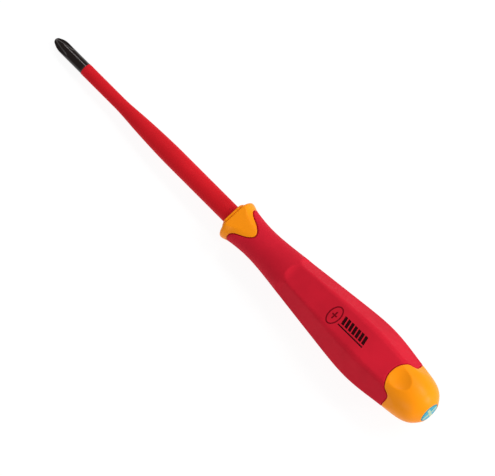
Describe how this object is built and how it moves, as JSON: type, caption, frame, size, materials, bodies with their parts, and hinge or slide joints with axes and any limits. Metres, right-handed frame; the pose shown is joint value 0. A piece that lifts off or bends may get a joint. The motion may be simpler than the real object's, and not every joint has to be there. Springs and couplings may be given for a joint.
{
  "type": "insulated screwdriver",
  "caption": "Insulated cross-tip screwdriver: slim sleeved blade, six-sided soft grip, hard flared collar and rounded end cap with an inlaid disc.",
  "frame": {"origin": "apex of the drive tip, on the tool's axis", "axes": "+X runs back along the blade to the butt of the handle; +Z points out of the handle flat that carries the mark"},
  "size_m": [0.2111, 0.026, 0.0236],
  "materials": {
    "black_steel": "black oxide, satin",
    "sleeve_red": "satin moulded",
    "core_plastic": "natural moulded",
    "hard_yellow": "satin moulded",
    "grip_red": "matte soft-touch",
    "disc_blue": "satin",
    "symbol_cream": "satin"
  },
  "bodies": {
    "root": {"blade": "black_steel", "blade_sleeve": "sleeve_red", "handle_core": "core_plastic", "front_collar": "hard_yellow", "soft_grip": "grip_red", "end_cap": "hard_yellow", "end_disc": "disc_blue", "drive_symbol": "symbol_cream"}
  },
  "joints": []
}
